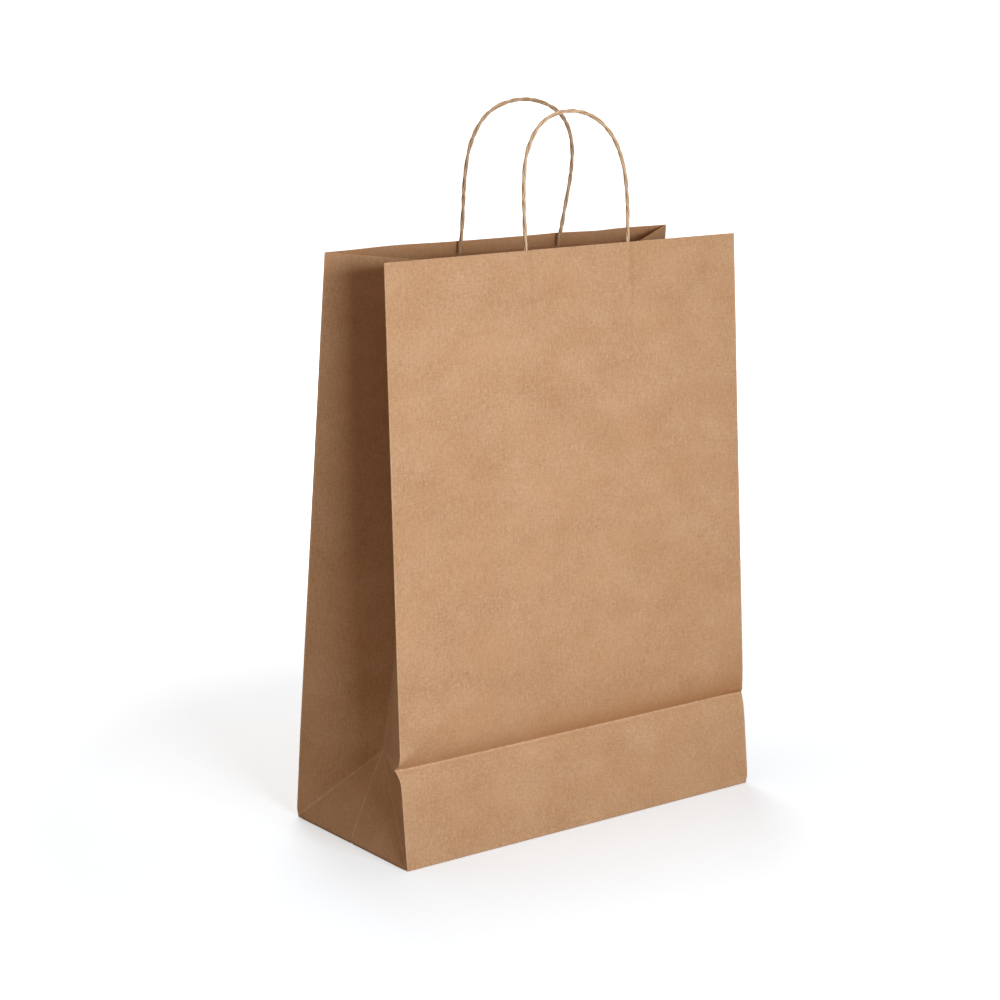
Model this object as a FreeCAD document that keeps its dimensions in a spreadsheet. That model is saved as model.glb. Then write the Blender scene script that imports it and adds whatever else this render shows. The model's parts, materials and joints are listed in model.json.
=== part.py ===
import FreeCAD, Part
import math
import os
import Sketcher

# Paper carrier bag with two twisted paper handles, standing open on its block bottom.
# Origin: centre of the base, on the surface it stands on. X is the bag's width, Y its
# depth (the front wall is at -Y) and Z is up. The wall sheet is split at its folds,
# which act as hinges. Millimetres and degrees.

doc = FreeCAD.newDocument("paper_bag")
sheet = doc.addObject("Spreadsheet::Sheet", "sizes")

driving = {
    "base_width": 320,         # left to right at the floor
    "base_depth": 140,         # front to back at the floor, and the width of one side gusset
    "paper_height": 420,       # floor to rim, along the paper
    "crease_height": 70,       # floor to the cross crease, along the paper
    "front_top_width": 314.8,
    "back_top_width": 311,
    "front_foot_lean": 6.5,
    "back_foot_lean": 5.2,
    "front_lean": 3.6,
    "back_lean": 4.9,
    "gusset_tilt": 24,         # inward lean of the gusset's foot triangle
    "paper": 0.3,
    "crease_gap": 0.4,         # room left at each side of a fold
    "fold_room": 1.7,          # room beside the upright gusset folds
    "centre_room": 7.5,        # room at the foot of the gusset's centre fold
    "gusset_lift": 5.5,        # room under the gusset's centre fold
    "cord_diameter": 2.8,
    "cord_seat": 0.66,         # wall's outer face to the cord, through the patch base
    "ridge_wall": 0.36,        # patch paper over a cord end
    "channel_room": 0.03,
    "layer_gap": 0.02,         # room between the flaps of the base
    "front_handle_centre": 10.2,  # both handles are glued a little to the right
    "back_handle_centre": 5.5,
    "front_leg_spacing": 92.6,
    "back_leg_spacing": 91,
    "front_handle_lean": 4.4,
    "back_handle_lean": 7.6,
    "cord_end": 48,            # glued length of each cord end, below the rim
    "patch_width": 138,
    "patch_height": 46,
    "patch_drop": 9,           # rim to the patch's upper edge
    "flap_depth": 80,
    "tuck_depth": 74,
    "lap_width": 16,
    "lap_inset": 4,
}
for row, (alias, value) in enumerate(driving.items(), start=1):
    sheet.set("A%d" % row, alias)
    sheet.set("B%d" % row, str(value))
    sheet.setAlias("B%d" % row, alias)
doc.recompute()


def size(alias):
    return float(sheet.get(alias))


def sine(alias):
    return math.sin(math.radians(size(alias)))


def cosine(alias):
    return math.cos(math.radians(size(alias)))


# Key points of the folded sheet, as outer surfaces.
half_width = size("base_width") / 2
half_depth = size("base_depth") / 2
crease = size("crease_height")
panel_height = size("paper_height") - crease
front_crease = FreeCAD.Vector(
    0, -half_depth + crease * sine("front_foot_lean"), crease * cosine("front_foot_lean"))
back_crease = FreeCAD.Vector(
    0, half_depth - crease * sine("back_foot_lean"), crease * cosine("back_foot_lean"))
front_up = FreeCAD.Vector(0, sine("front_lean"), cosine("front_lean"))
back_up = FreeCAD.Vector(0, -sine("back_lean"), cosine("back_lean"))
front_rim = front_crease + front_up * panel_height
back_rim = back_crease + back_up * panel_height
mouth_half_gap = (back_rim.y - front_rim.y) / 2
mouth_fold_depth = math.sqrt(half_depth ** 2 - mouth_half_gap ** 2)
right = FreeCAD.Vector(1, 0, 0)


def seat(origin, across, up):
    """Frame of a flat piece: its outline runs across and up, and its outer face looks along Z."""
    outward = across.cross(up)
    columns = (across.x, up.x, outward.x, origin.x,
               across.y, up.y, outward.y, origin.y,
               across.z, up.z, outward.z, origin.z,
               0, 0, 0, 1)
    return FreeCAD.Placement(FreeCAD.Matrix(*columns))


def paper_piece(label, corners, placement, layers="1"):
    """Flat sheet cut to the outline through corners, with its thickness on the inner side."""
    body = doc.addObject("PartDesign::Body", label)
    body.Label = label
    sketch = body.newObject("Sketcher::SketchObject", label + "_outline")
    plane = [item for item in body.Origin.OriginFeatures if item.Role == "XY_Plane"][0]
    sketch.AttachmentSupport = [(plane, "")]
    sketch.MapMode = "FlatFace"
    count = len(corners)
    ring = [FreeCAD.Vector(10 * math.cos(2 * math.pi * turn / count),
                           10 * math.sin(2 * math.pi * turn / count), 0)
            for turn in range(count)]
    for index in range(count):
        sketch.addGeometry(Part.LineSegment(ring[index], ring[(index + 1) % count]), False)
    for index in range(count):
        sketch.addConstraint(
            Sketcher.Constraint("Coincident", index, 2, (index + 1) % count, 1))
    for index, (place_x, place_y) in enumerate(corners):
        for kind, expression in (("DistanceX", place_x), ("DistanceY", place_y)):
            start = ring[index].x if kind == "DistanceX" else ring[index].y
            number = sketch.addConstraint(
                Sketcher.Constraint(kind, -1, 1, index, 1, start))
            sketch.setExpression("Constraints[%d]" % number, expression)
    pad = body.newObject("PartDesign::Pad", label + "_sheet")
    pad.Profile = sketch
    pad.Reversed = True
    pad.setExpression("Length", "sizes.paper * " + layers)
    body.Tip = pad
    body.Placement = placement
    return body


def trapezium(low_width, high_width, start, height):
    """Corners of a piece that is symmetrical about its upright centre line."""
    low = "(" + low_width + ") / 2"
    high = "(" + high_width + ") / 2"
    top = "(" + start + ") + (" + height + ")"
    return [("-(" + low + ")", start), (low, start), (high, top), ("-(" + high + ")", top)]


def wall(label, low_width, high_width, height, origin, across, up):
    """One wall between two cross folds, short of each fold by the crease gap."""
    corners = trapezium(low_width + " - 2 * sizes.crease_gap",
                        high_width + " - 2 * sizes.crease_gap",
                        "sizes.crease_gap", height + " - 2 * sizes.crease_gap")
    return paper_piece(label, corners, seat(origin, across, up))


def make_walls():
    upper = "sizes.paper_height - sizes.crease_height"
    foot = "sizes.crease_height"
    front_base = FreeCAD.Vector(0, -half_depth, 0)
    back_base = FreeCAD.Vector(0, half_depth, 0)
    front_foot_up = (front_crease - front_base) / crease
    back_foot_up = (back_crease - back_base) / crease
    width = "sizes.base_width"
    return [
        wall("front_panel", width, "sizes.front_top_width", upper, front_crease, right, front_up),
        wall("back_panel", width, "sizes.back_top_width", upper, back_crease, -right, back_up),
        wall("front_foot_strip", width, width, foot, front_base, right, front_foot_up),
        wall("back_foot_strip", width, width, foot, back_base, -right, back_foot_up),
    ]


def gusset_points(side):
    """Foot vertex and rim vertex of the centre fold; side is -1 on the left and 1 on the right."""
    foot = FreeCAD.Vector(side * (half_width - half_depth * sine("gusset_tilt")),
                          0, half_depth * cosine("gusset_tilt"))
    rim_x = (size("front_top_width") + size("back_top_width")) / 4 - mouth_fold_depth
    rim_y = (front_rim.y + back_rim.y) / 2
    run = math.hypot(side * rim_x - foot.x, rim_y)
    rim = FreeCAD.Vector(side * rim_x, rim_y, foot.z + math.sqrt(panel_height ** 2 - run ** 2))
    return foot, rim


def corner_points(side, depth_side):
    """Crease end and rim end of an upright corner fold; depth_side is -1 at the front."""
    if depth_side < 0:
        low = front_crease
        high = front_rim
        top_width = size("front_top_width")
    else:
        low = back_crease
        high = back_rim
        top_width = size("back_top_width")
    return low + right * side * half_width, high + right * side * top_width / 2


def cut_piece(label, square, first, second, corners, facing):
    """Flat piece seen from its square corner, with X toward first and Y toward second.
    Its outer face looks to the side of the given sign along the bag's width."""
    along = (first - square).normalize()
    away = second - square
    away = (away - along * away.dot(along)).normalize()
    if along.cross(away).x * facing < 0:
        along, away = away, along
        corners = [(place_y, place_x) for place_x, place_y in corners]
    return paper_piece(label, corners, seat(square, along, away))


def toward(start, end, length):
    """The point a given length along the line from start to end."""
    return start + (end - start).normalize() * length


def skew_piece(label, corners, side):
    """Flat piece through three points in space, with its thickness on the outer side."""
    outward = (corners[1] - corners[0]).cross(corners[2] - corners[0]).normalize()
    if outward.x * side < 0:
        outward = outward * -1
    face = Part.Face(Part.makePolygon(corners + corners[:1]))
    feature = doc.addObject("Part::Feature", label)
    feature.Label = label
    feature.Shape = face.extrude(outward * size("paper"))
    feature.Placement = FreeCAD.Placement()
    return feature


def gusset_half(name, side, depth_side):
    """Upper half gusset: flat triangles either side of the line from the foot of the wall's
    corner to the rim end of the centre fold, each a little short of every fold. Their corners
    aren't square, because the centre fold leans further in than the corner fold does."""
    low_corner, high_corner = corner_points(side, depth_side)
    foot, rim = gusset_points(side)
    room = size("fold_room")
    gap = size("crease_gap")
    wall_low = toward(low_corner, foot, room) + FreeCAD.Vector(0, 0, 3 * gap)
    wall_high = toward(high_corner, rim, room)
    centre_high = toward(rim, high_corner, room)
    centre_low = toward(foot, low_corner, size("centre_room"))
    centre_low.z += size("gusset_lift")
    outer = [wall_low, wall_high, centre_high]
    inner = [toward(wall_low, centre_low, 2 * gap), toward(centre_high, centre_low, 8 * gap),
             centre_low]
    return [
        skew_piece(name + "_outer", outer, side),
        skew_piece(name + "_inner", inner, side),
    ]


def gusset_foot(name, side):
    """The gusset below the cross crease: a leaning triangle and the two corner triangles."""
    foot, _ = gusset_points(side)
    base_middle = FreeCAD.Vector(side * half_width, 0, 0)
    across = FreeCAD.Vector(0, side, 0)
    up = (foot - base_middle).normalize()
    middle = trapezium("sizes.base_depth - 6 * sizes.crease_gap", "sizes.fold_room",
                       "sizes.crease_gap", "sizes.base_depth / 2 - 3 * sizes.crease_gap")
    pieces = [paper_piece(name + "_gusset_foot", middle, seat(base_middle, across, up))]
    corners = [("2 * sizes.crease_gap", "sizes.crease_gap"),
               ("sizes.base_depth / 2 - 6 * sizes.crease_gap", "sizes.crease_gap"),
               ("2 * sizes.crease_gap", "sizes.crease_height - 5 * sizes.crease_gap")]
    for depth_side, place in ((-1, "front"), (1, "back")):
        low_corner, _ = corner_points(side, depth_side)
        base_corner = FreeCAD.Vector(side * half_width, depth_side * half_depth, 0)
        pieces.append(cut_piece("%s_%s_corner_fold" % (name, place), low_corner, foot,
                                base_corner, corners, side))
    return pieces


def make_gussets():
    pieces = []
    for side, name in ((-1, "left"), (1, "right")):
        pieces += gusset_foot(name, side)
        for depth_side, place in ((-1, "front"), (1, "back")):
            pieces += gusset_half("%s_gusset_%s" % (name, place), side, depth_side)
    return pieces


def make_base():
    """Block bottom: the two side flaps are tucked in first and the long flaps close over them."""
    layer = FreeCAD.Vector(0, 0, size("paper") + size("layer_gap"))
    depth = FreeCAD.Vector(0, half_depth, 0)
    width = FreeCAD.Vector(half_width, 0, 0)
    inward_y = FreeCAD.Vector(0, 1, 0)
    flap = trapezium("sizes.base_width - 4 * sizes.crease_gap",
                     "sizes.base_width - 2 * sizes.flap_depth",
                     "2 * sizes.crease_gap", "sizes.flap_depth")
    tuck = trapezium("sizes.base_depth - 8 * sizes.crease_gap",
                     "sizes.base_depth / 2", "3 * sizes.crease_gap", "sizes.tuck_depth")
    return [
        paper_piece("outer_base_flap", flap, seat(-depth, -right, inward_y)),
        paper_piece("inner_base_flap", flap, seat(depth + layer, right, -inward_y)),
        paper_piece("left_tuck_flap", tuck, seat(layer * 2 - width, inward_y, right)),
        paper_piece("right_tuck_flap", tuck, seat(width + layer * 2, -inward_y, -right)),
    ]


def make_seam():
    """The sheet's glued edge: a second layer inside the back wall, beside the right corner."""
    start = "sizes.base_width / 2 - sizes.lap_inset - sizes.lap_width"
    end = "sizes.base_width / 2 - sizes.lap_inset"
    slope = "(sizes.base_width - sizes.back_top_width) / 2"
    pieces = []
    rows = (
        ("seam_lap", back_crease, back_up, slope,
         "sizes.paper_height - sizes.crease_height - 2 * sizes.crease_gap"),
        ("foot_seam_lap", FreeCAD.Vector(0, half_depth, 0), (back_crease
         - FreeCAD.Vector(0, half_depth, 0)) / crease, "0",
         "sizes.crease_height - 2 * sizes.crease_gap"),
    )
    for label, origin, up, narrowing, top in rows:
        bottom = "6 * sizes.crease_gap"
        corners = [("-(" + end + ")", bottom), ("-(" + start + ")", bottom),
                   ("-(" + start + " - " + narrowing + ")", top),
                   ("-(" + end + " - " + narrowing + ")", top)]
        outward = (-right).cross(up)
        inner = origin - outward * (size("paper") + size("layer_gap"))
        pieces.append(paper_piece(label, corners, seat(inner, -right, up)))
    return pieces


def patch_base(name, origin, across, up):
    """Lower strip of the handle patch, glued flat on the wall's inner face."""
    shift = "sizes.%s_handle_centre * %d" % (name, across.x)
    low = "-(sizes.patch_drop + sizes.patch_height)"
    high = "-sizes.patch_drop"
    left_edge = shift + " - sizes.patch_width / 2"
    right_edge = shift + " + sizes.patch_width / 2"
    corners = [(left_edge, low), (right_edge, low), (right_edge, high), (left_edge, high)]
    inner = origin - across.cross(up) * (size("paper") + size("layer_gap"))
    return paper_piece(name + "_patch_base", corners, seat(inner, across, up))


def cylinder(label, radius, length, centre_x, centre_y, low_z):
    """Upright cylinder whose sizes and place are expressions."""
    item = doc.addObject("Part::Cylinder", label)
    item.setExpression("Radius", radius)
    item.setExpression("Height", length)
    item.setExpression("Placement.Base.x", centre_x)
    item.setExpression("Placement.Base.y", centre_y)
    item.setExpression("Placement.Base.z", low_z)
    return item


def wall_frame(origin, across, up):
    """Frame of a wall with Y into the bag and Z up the wall."""
    return seat(origin, across, up).multiply(
        FreeCAD.Placement(FreeCAD.Vector(), FreeCAD.Rotation(right, -90)))


def handle_ends(name, spacing, placement, sign):
    """The two straight cord ends between the patch strips."""
    ends = []
    for leg in (-1, 1):
        ends.append(cylinder(
            "%s_end_%s" % (name, "left" if leg < 0 else "right"),
            "sizes.cord_diameter / 2", "sizes.cord_end",
            "sizes.%s_handle_centre * %d + %d * %s / 2" % (name, sign, leg, spacing),
            "sizes.cord_seat + sizes.cord_diameter / 2", "-sizes.cord_end"))
    group = doc.addObject("Part::Compound", name + "_cord_ends")
    group.Label = name + "_cord_ends"
    group.Links = ends
    group.Placement = placement
    return group


def patch_cover(name, spacing, placement, sign):
    """Upper strip of the handle patch: flat, with a ridge over each cord end."""
    ridges = []
    channels = []
    low = "-(sizes.patch_drop + sizes.patch_height)"
    middle = "sizes.cord_seat + sizes.cord_diameter / 2"
    for leg, side in ((-1, "left"), (1, "right")):
        centre = "sizes.%s_handle_centre * %d + %d * %s / 2" % (name, sign, leg, spacing)
        ridges.append(cylinder("%s_ridge_%s" % (name, side),
                               "sizes.cord_diameter / 2 + sizes.ridge_wall",
                               "sizes.patch_height", centre, middle, low))
        channels.append(cylinder("%s_channel_%s" % (name, side),
                                 "sizes.cord_diameter / 2 + sizes.channel_room",
                                 "sizes.patch_height", centre, middle, low))
    strip = doc.addObject("Part::Box", name + "_cover_strip")
    keep = doc.addObject("Part::Box", name + "_cover_side")
    for box, depth in ((strip, "sizes.paper"), (keep, "2 * sizes.cord_diameter")):
        box.setExpression("Length", "sizes.patch_width")
        box.setExpression("Width", depth)
        box.setExpression("Height", "sizes.patch_height")
        box.setExpression("Placement.Base.x", "sizes.%s_handle_centre * %d"
                          " - sizes.patch_width / 2" % (name, sign))
        box.setExpression("Placement.Base.y", "sizes.cord_seat")
        box.setExpression("Placement.Base.z", low)
    blank = doc.addObject("Part::MultiFuse", name + "_cover_blank")
    blank.Shapes = [strip] + ridges
    bores = doc.addObject("Part::MultiFuse", name + "_cover_bores")
    bores.Shapes = channels
    shell = doc.addObject("Part::Cut", name + "_cover_shell")
    shell.Base = blank
    shell.Tool = bores
    cover = doc.addObject("Part::MultiCommon", name + "_patch_cover")
    cover.Label = name + "_patch_cover"
    cover.Shapes = [shell, keep]
    cover.Placement = placement
    return cover


# Routes of the two loops, from the left leg at the rim round to the right leg: the place
# to the right of the bag's middle, and the height above the handle's swing line.
front_route = [(-36.1, 0), (-36.5, 17), (-36.2, 42), (-33.2, 66), (-19.5, 86.5), (4, 94),
               (28, 89.5), (46, 75), (55.3, 53.5), (57.6, 29), (56.5, 0)]
back_route = [(-40, 0), (-40.6, 20), (-42, 46), (-39.7, 71), (-27.5, 91.5), (-4, 100),
              (21, 98), (43, 87), (54, 67.5), (55.8, 44), (53, 20), (51, 0)]


def loop_path(route):
    """Straight runs joined by tangent arcs, each arc as large as its two runs allow."""
    points = [FreeCAD.Vector(place_x, 0, place_z) for place_x, place_z in route]
    edges = []
    radii = []
    last = points[0]
    for before, corner, after in zip(points, points[1:], points[2:]):
        arrive = (corner - before).normalize()
        leave = (after - corner).normalize()
        turn = arrive.getAngle(leave)
        trim = 0.45 * min((corner - before).Length, (after - corner).Length)
        radii.append(trim / math.tan(turn / 2))
        start = corner - arrive * trim
        end = corner + leave * trim
        middle_way = (leave - arrive).normalize()
        bulge = radii[-1] / math.cos(turn / 2) - radii[-1]
        edges.append(Part.LineSegment(last, start).toShape())
        edges.append(Part.Arc(start, corner + middle_way * bulge, end).toShape())
        last = end
    edges.append(Part.LineSegment(last, points[-1]).toShape())
    return Part.Wire(edges), radii


def handle_loop(name, route, wall_origin, inward, lean):
    """The part of the cord above the rim, leaning with its wall."""
    radius = size("cord_diameter") / 2
    path, radii = loop_path(route)
    section = Part.Wire(Part.makeCircle(
        radius, FreeCAD.Vector(route[0][0], 0, 0), path.Edges[0].tangentAt(0)))
    tube = path.makePipeShell([section], True, True)
    expected = math.pi * radius ** 2 * path.Length
    print("%s: length %.1f, smallest radius %.1f, volume %.1f of %.1f" % (
        name, path.Length, min(radii), tube.Volume, expected))
    loop = doc.addObject("Part::Feature", name + "_handle")
    loop.Label = name + "_handle"
    loop.Shape = tube
    loop.Placement = FreeCAD.Placement(
        swing_point(wall_origin, inward), FreeCAD.Rotation(right, lean))
    return loop


def swing_point(rim, inward):
    """Centre of the cord where it starts to bend, just above the rim."""
    radius = size("cord_diameter") / 2
    offset = size("cord_seat") + radius
    return rim + inward * offset + FreeCAD.Vector(0, 0, radius + size("paper"))


def make_handles():
    front_inward = right.cross(front_up) * -1
    back_inward = (-right).cross(back_up) * -1
    pieces = []
    rows = (("front", front_rim, right, front_up, 1), ("back", back_rim, -right, back_up, -1))
    for name, rim, across, up, sign in rows:
        frame = wall_frame(rim, across, up)
        spacing = "sizes." + name + "_leg_spacing"
        pieces.append(patch_base(name, rim, across, up))
        pieces.append(handle_ends(name, spacing, frame, sign))
        pieces.append(patch_cover(name, spacing, frame, sign))
    pieces.append(handle_loop(
        "front", front_route, front_rim, front_inward, -size("front_handle_lean")))
    pieces.append(handle_loop(
        "back", back_route, back_rim, back_inward, size("back_handle_lean")))
    return pieces


parts = make_walls() + make_gussets() + make_base() + make_seam() + make_handles()
doc.recompute()

for item in doc.Objects:
    if "Invalid" in item.State or "Error" in item.State:
        raise RuntimeError("%s did not rebuild: %s" % (item.Name, item.State))
for item in parts:
    if item.Shape.isNull() or not item.Shape.isValid():
        raise RuntimeError("%s has no valid shape" % item.Label)

os.makedirs("parts", exist_ok=True)
for item in parts:
    item.Shape.exportStep("parts/%s.step" % item.Label)
    box = item.Shape.BoundBox
    print("%-26s %9.1f mm3  x %.1f..%.1f  y %.1f..%.1f  z %.1f..%.1f" % (
        item.Label, item.Shape.Volume, box.XMin, box.XMax, box.YMin, box.YMax,
        box.ZMin, box.ZMax))
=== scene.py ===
import json
import math
import bpy
import numpy as np
from mathutils import Matrix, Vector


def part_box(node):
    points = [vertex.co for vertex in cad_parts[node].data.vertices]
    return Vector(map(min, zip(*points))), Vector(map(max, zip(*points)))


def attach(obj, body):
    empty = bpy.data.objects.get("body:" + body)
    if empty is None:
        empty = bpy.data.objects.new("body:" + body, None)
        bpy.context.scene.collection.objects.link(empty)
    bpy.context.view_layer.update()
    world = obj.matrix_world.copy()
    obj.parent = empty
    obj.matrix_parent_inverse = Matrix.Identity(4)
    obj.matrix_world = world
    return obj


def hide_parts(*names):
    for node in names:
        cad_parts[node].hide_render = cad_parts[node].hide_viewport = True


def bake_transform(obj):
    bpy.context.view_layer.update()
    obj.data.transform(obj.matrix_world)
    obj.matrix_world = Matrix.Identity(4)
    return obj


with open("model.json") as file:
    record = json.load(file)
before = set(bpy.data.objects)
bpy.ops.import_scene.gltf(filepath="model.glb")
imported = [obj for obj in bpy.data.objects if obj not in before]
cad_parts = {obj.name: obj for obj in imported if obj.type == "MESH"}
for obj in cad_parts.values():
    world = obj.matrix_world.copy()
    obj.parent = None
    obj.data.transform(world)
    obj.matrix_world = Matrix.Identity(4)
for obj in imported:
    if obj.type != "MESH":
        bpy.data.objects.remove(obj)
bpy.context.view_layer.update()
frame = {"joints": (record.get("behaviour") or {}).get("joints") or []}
joints = {joint["name"]: joint for joint in frame["joints"]}


def jointPoint(name):
    return np.array(joints[name]["pos_m"], float)


def jointAxis(name):
    return np.array(joints[name]["axis"], float)


# what is common to the whole folded sheet, in metres
sheet = {
    "paper": 0.0003,  # thickness
    "creaseGap": 0.0004,  # what the CAD leaves free beside each fold
    "bottomRound": 0.0009,  # radius where a wall turns under the bag
    "step": 0.0026,  # mesh spacing along the walls
    "tuckBelow": 0.0045,  # how far an upper piece runs on behind the lower one
    "tuckGap": 0.0006,
    "blunt": 0.0011,  # wear of the four bottom corners
    "bluntReach": 0.0042,
    "bluntTurn": 0.8,  # how much of it goes along x, and as much along y
    "closest": 0.00018,  # grid lines nearer than this are one line
    "weld": 0.00002,
    "crispAngle": 50,  # degrees from which an edge stays sharp
    "innerShade": 0.42,  # painted shade: the inner face, inside the bag, is painted this much darker
    "farFromFold": 0.05,  # fold distance that means no fold nearby
}
halfWidth = abs(jointPoint("left_fold_front")[0])
halfDepth = -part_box("front_foot_strip")[0].y
frontCrease = jointPoint("mouth_front")
backCrease = jointPoint("mouth_back")
creaseUp = float(np.hypot(frontCrease[1] + halfDepth, frontCrease[2]))  # paper length, floor to crease
panelUp = float((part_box("front_panel")[1].z + sheet["creaseGap"] - frontCrease[2])
                / jointAxis("left_fold_front")[2])
rimUp = creaseUp + panelUp


def wallFrom(joint, crease, outward):
    lean = jointAxis(joint)
    return {"crease": crease, "outward": outward, "lean": lean / np.hypot(lean[1], lean[2]),
            "narrow": abs(lean[0] / lean[2])}


frontWall = wallFrom("left_fold_front", frontCrease, -1)
backWall = wallFrom("left_fold_back", backCrease, 1)
print("frame read: walls", round(rimUp, 4), "m of paper from floor to rim")


# shape of the walls
crossCrease = {
    "front": {"notch": 0.0026, "notchAcross": 0.010, "notchUp": 0.0125, "notchDown": 0.0085,
              "band": 0.0047, "bandUp": 0.0078, "bandEnd": 0.0024, "endReach": 0.007,
              "below": 0.0055},
    "back": {"notch": 0.0, "notchAcross": 0.010, "notchUp": 0.008, "notchDown": 0.006,
             "band": 0.0020, "bandUp": 0.010, "bandEnd": 0.0, "endReach": 0.020, "startReach": 0.020,
             "below": 0.0050},
    "pinch": 0.0007,  # small second fold at the crease's right end
    "pinchRise": 0.0035,
    "pinchReach": 0.0155,
    "pinchFade": 0.004,
    "pinchWide": 0.0010,
    "wedgePower": 1.3,  # outline of the notch
    "notchFade": 0.45,  # under the crease the notch fades over this share of notchDown
    "cornerRise": 0.0060,  # the band starts under a line that rises from the left edge
    "cornerSlope": 0.70,
    "cornerBlur": 0.0060,
    "shadeUp": 0.0150,  # height of the painted shade band over the crease
    "shadeLeft": 0.62,  # its strength at the left end
    "shadeGrowth": 0.38,
}
rimShape = {
    "frontDish": 0.0012,  # front rim bows in
    "backBow": 0.0014,  # back rim bows out
    # larger waves of the back rim: place, reach and height of each
    "backWaves": ((-0.100, 0.036, 0.0095), (0.050, 0.020, 0.0020), (0.086, 0.016, -0.0045),
                  (0.123, 0.018, 0.0030)),
}
ripple = {
    "height": 0.00045,
    "acrossWaves": 5.3, "acrossStart": 1.3, "acrossDrift": 2.1,
    "upWaves": 7.4, "upDrift": 1.7,
    "fineShare": 0.5, "fineAcross": 11.0, "fineUp": 5.0, "fineStart": 0.4,
}


def paintedShade(across, up):
    # 0 to 1 of painted shade over the crease, where the dent's shade falls, strongest at the crease and to
    # the right:
    # smooth(corner / cornerBlur) exp(-above / shadeUp) (shadeLeft + shadeGrowth smooth(share of the width))
    x = across * halfWidth
    above = up - creaseUp
    corner = crossCrease["cornerSlope"] * (x + halfWidth) + crossCrease["cornerRise"] - above
    tone = smooth(corner / crossCrease["cornerBlur"])
    tone = tone * np.exp(-np.maximum(above, 0) / crossCrease["shadeUp"]) * (above >= 0)
    grown = crossCrease["shadeGrowth"] * smooth((x + halfWidth) / (2 * halfWidth))
    return tone * (crossCrease["shadeLeft"] + grown)


def smooth(value):
    value = np.clip(value, 0, 1)
    return value * value * (3 - 2 * value)


def creaseDent(side, across, up):
    # inward depth = notch exp(-fromLeft / notchAcross) (1 - over / notchUp)^wedgePower
    #              + band smooth((cornerSlope fromLeft + cornerRise - over) / cornerBlur) exp(-over / bandUp),
    # the band less near the right end, and at the back also near the left end; under the crease it
    # fades as exp(over / below). On the front a small pinch near the right end stands out again.
    c = crossCrease[side]
    x = across * halfWidth
    fromLeft, fromRight = x + halfWidth, halfWidth - x
    over = up - creaseUp
    above, under = np.maximum(over, 0), np.minimum(over, 0)
    wedge = np.clip(1 - above / c["notchUp"] + under / c["notchDown"], 0, 1) ** crossCrease["wedgePower"]
    nearLeft = np.exp(-fromLeft / c["notchAcross"])
    notch = c["notch"] * nearLeft * wedge
    corner = crossCrease["cornerSlope"] * fromLeft + crossCrease["cornerRise"] - above
    band = c["band"] * smooth(corner / crossCrease["cornerBlur"]) * np.exp(-above / c["bandUp"])
    band = band * (1 - (1 - c["bandEnd"] / c["band"]) * np.exp(-fromRight / c["endReach"]))
    fadeDown = c["below"] + (c["notchDown"] * crossCrease["notchFade"] - c["below"]) * nearLeft
    fade = np.exp(under / fadeDown)
    if side == "back":
        band = band * (1 - np.exp(-fromLeft / c["startReach"]))
        return notch + band * fade
    pinch = crossCrease["pinch"] * smooth((crossCrease["pinchReach"] - fromRight) / crossCrease["pinchFade"])
    pinch = pinch * np.exp(-((over - crossCrease["pinchRise"]) / crossCrease["pinchWide"]) ** 2)
    return notch + band * fade - pinch


def wallPoint(wall, across, up, inset=0.0):
    # Outer face of a wall: across runs from -1 to 1, up is paper length from the floor.
    # Foot line to the crease, then the leaning line to the rim, plus dent, bow and ripple.
    across, up = np.broadcast_arrays(np.asarray(across, float), np.asarray(up, float))
    out = wall["outward"]
    side = "front" if out < 0 else "back"
    footY = out * halfDepth
    share = np.clip(up / creaseUp, None, 1)
    over = np.maximum(up - creaseUp, 0)
    y = footY + (wall["crease"][1] - footY) * share + wall["lean"][1] * over
    z = wall["crease"][2] * share + wall["lean"][2] * over
    x = across * (halfWidth - wall["narrow"] * over)
    rise = over / panelUp
    middle = 1 - across ** 2
    if side == "front":
        inward = rimShape["frontDish"] * middle * rise ** 2
    else:
        waves = sum(high * np.exp(-((x - at) / reach) ** 2) for at, reach, high in rimShape["backWaves"])
        inward = -(rimShape["backBow"] + waves) * middle * rise ** 3
    waves = (np.sin(across * ripple["acrossWaves"] + ripple["acrossStart"] + ripple["acrossDrift"] * rise)
             * np.sin(rise * ripple["upWaves"] + across * ripple["upDrift"])
             + ripple["fineShare"] * np.sin(across * ripple["fineAcross"] + rise * ripple["fineUp"]
                                            + ripple["fineStart"]))
    inward = inward + ripple["height"] * waves * middle * np.sin(np.pi * rise)
    inward = inward + creaseDent(side, across, up)
    turn = np.clip(up / sheet["bottomRound"], 0, 1)
    inward = inward + sheet["bottomRound"] * (1 - np.sin(turn * np.pi / 2))
    z = np.where(up < sheet["bottomRound"], sheet["bottomRound"] * (1 - np.cos(turn * np.pi / 2)), z)
    inward = inward + inset
    return np.stack([x, y - out * inward, z], axis=-1)


def spread(low, high, step, extra=()):
    # Grid lines from low to high about a step apart, with closer ones where named.
    count = max(2, int(round((high - low) / step)) + 1)
    lines = np.concatenate([np.linspace(low, high, count)] + [np.asarray(e, float) for e in extra])
    lines = np.unique(np.round(lines[(lines >= low - 1e-9) & (lines <= high + 1e-9)], 6))
    keep = np.concatenate([[True], np.diff(lines) > sheet["closest"]])
    keep[-1] = True
    return lines[keep]


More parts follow.
